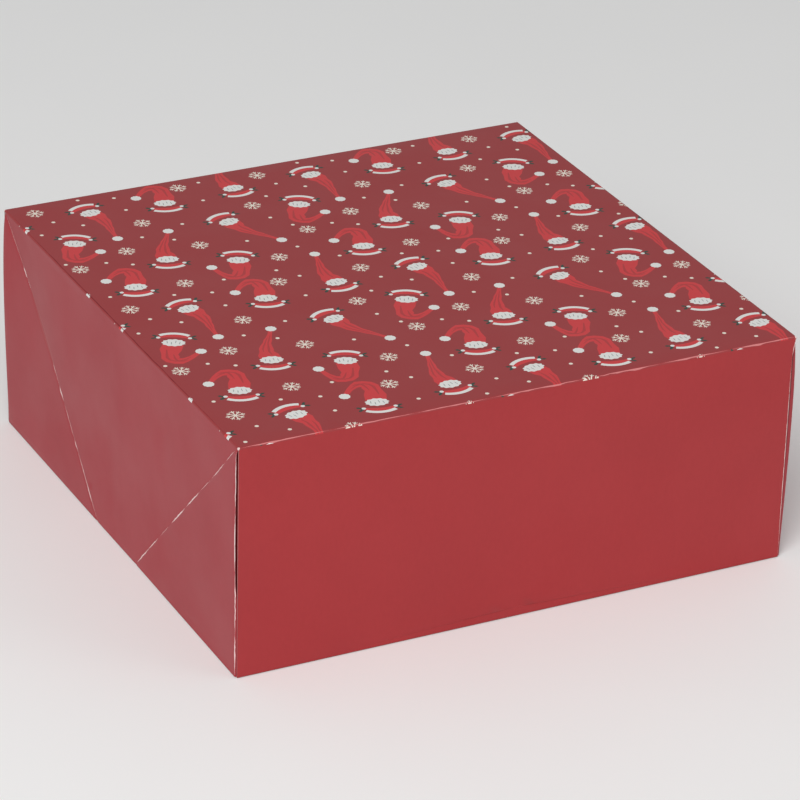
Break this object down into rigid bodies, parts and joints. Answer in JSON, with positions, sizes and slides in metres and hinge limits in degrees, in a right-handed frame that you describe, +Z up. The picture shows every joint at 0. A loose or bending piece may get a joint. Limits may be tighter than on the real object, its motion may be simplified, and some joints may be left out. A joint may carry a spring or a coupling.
{
  "type": "folding paperboard cookie box",
  "caption": "Square two-piece folding board box: a full-depth lid over a base tray, both with side walls creased at 45 degrees so that they can fold flat.",
  "frame": {"origin": "under the middle of the base's floor, on the surface that the box stands on", "axes": "+X along the plain front wall towards the right, +Y from the plain front wall to the back wall, +Z up"},
  "size_m": [0.26, 0.255, 0.1065],
  "materials": {
    "lid_print": "satin printed coated board",
    "lid_wall": "satin coated board",
    "lid_side": "satin coated board",
    "base_wall": "satin coated board",
    "bare_board": "matte uncoated board"
  },
  "bodies": {
    "base_floor": {"base_floor_panel": "bare_board"},
    "lid": {"lid_top_panel": "lid_print", "lid_front_wall": "lid_wall", "lid_back_wall": "lid_wall", "lid_left_centre": "lid_side", "lid_right_centre": "lid_side", "lid_gusset_front_left": "lid_side", "lid_gusset_front_right": "lid_side", "lid_gusset_back_left": "lid_side", "lid_gusset_back_right": "lid_side", "lid_tab_front_left": "bare_board", "lid_tab_front_right": "bare_board", "lid_tab_back_left": "bare_board", "lid_tab_back_right": "bare_board"},
    "base_front": {"base_front_wall": "base_wall", "base_tab_front_left": "bare_board", "base_tab_front_right": "bare_board"},
    "base_back": {"base_back_wall": "base_wall", "base_tab_back_left": "bare_board", "base_tab_back_right": "bare_board"},
    "base_left": {"base_left_centre": "base_wall"},
    "base_right": {"base_right_centre": "base_wall"},
    "gusset_front_left": {"base_gusset_front_left": "base_wall"},
    "gusset_front_right": {"base_gusset_front_right": "base_wall"},
    "gusset_back_left": {"base_gusset_back_left": "base_wall"},
    "gusset_back_right": {"base_gusset_back_right": "base_wall"}
  },
  "joints": [
    {"name": "lid_lift", "type": "slide", "parent": "base_floor", "child": "lid", "axis": [0, 0, 1], "range_m": [0, 0.12]},
    {"name": "base_front_fold", "type": "hinge", "parent": "base_floor", "child": "base_front", "pos_m": [0, -0.1247, 0.0032], "axis": [-1, 0, 0], "range_deg": [0, 90]},
    {"name": "base_back_fold", "type": "hinge", "parent": "base_floor", "child": "base_back", "pos_m": [0, 0.1247, 0.0032], "axis": [1, 0, 0], "range_deg": [0, 90]},
    {"name": "base_left_fold", "type": "hinge", "parent": "base_floor", "child": "base_left", "pos_m": [-0.128, 0, 0.0008], "axis": [0, 1, 0], "range_deg": [0, 90]},
    {"name": "base_right_fold", "type": "hinge", "parent": "base_floor", "child": "base_right", "pos_m": [0.128, 0, 0.0008], "axis": [0, -1, 0], "range_deg": [0, 90]},
    {"name": "gusset_front_left_fold", "type": "hinge", "parent": "base_front", "child": "gusset_front_left", "pos_m": [-0.128, -0.1236, 0.05], "axis": [0, 0, -1], "range_deg": [0, 90], "deforming": ["base_gusset_front_left"]},
    {"name": "gusset_front_right_fold", "type": "hinge", "parent": "base_front", "child": "gusset_front_right", "pos_m": [0.128, -0.1236, 0.05], "axis": [0, 0, 1], "range_deg": [0, 90], "deforming": ["base_gusset_front_right"]},
    {"name": "gusset_back_left_fold", "type": "hinge", "parent": "base_back", "child": "gusset_back_left", "pos_m": [-0.128, 0.1236, 0.05], "axis": [0, 0, 1], "range_deg": [0, 90], "deforming": ["base_gusset_back_left"]},
    {"name": "gusset_back_right_fold", "type": "hinge", "parent": "base_back", "child": "gusset_back_right", "pos_m": [0.128, 0.1236, 0.05], "axis": [0, 0, -1], "range_deg": [0, 90], "deforming": ["base_gusset_back_right"]}
  ],
  "couplings": [
    {"joint": "base_back_fold", "follows": "base_front_fold", "ratio": 1},
    {"joint": "base_left_fold", "follows": "base_front_fold", "ratio": 1},
    {"joint": "base_right_fold", "follows": "base_front_fold", "ratio": 1},
    {"joint": "gusset_front_left_fold", "follows": "base_front_fold", "ratio": 1},
    {"joint": "gusset_front_right_fold", "follows": "base_front_fold", "ratio": 1},
    {"joint": "gusset_back_left_fold", "follows": "base_front_fold", "ratio": 1},
    {"joint": "gusset_back_right_fold", "follows": "base_front_fold", "ratio": 1}
  ]
}
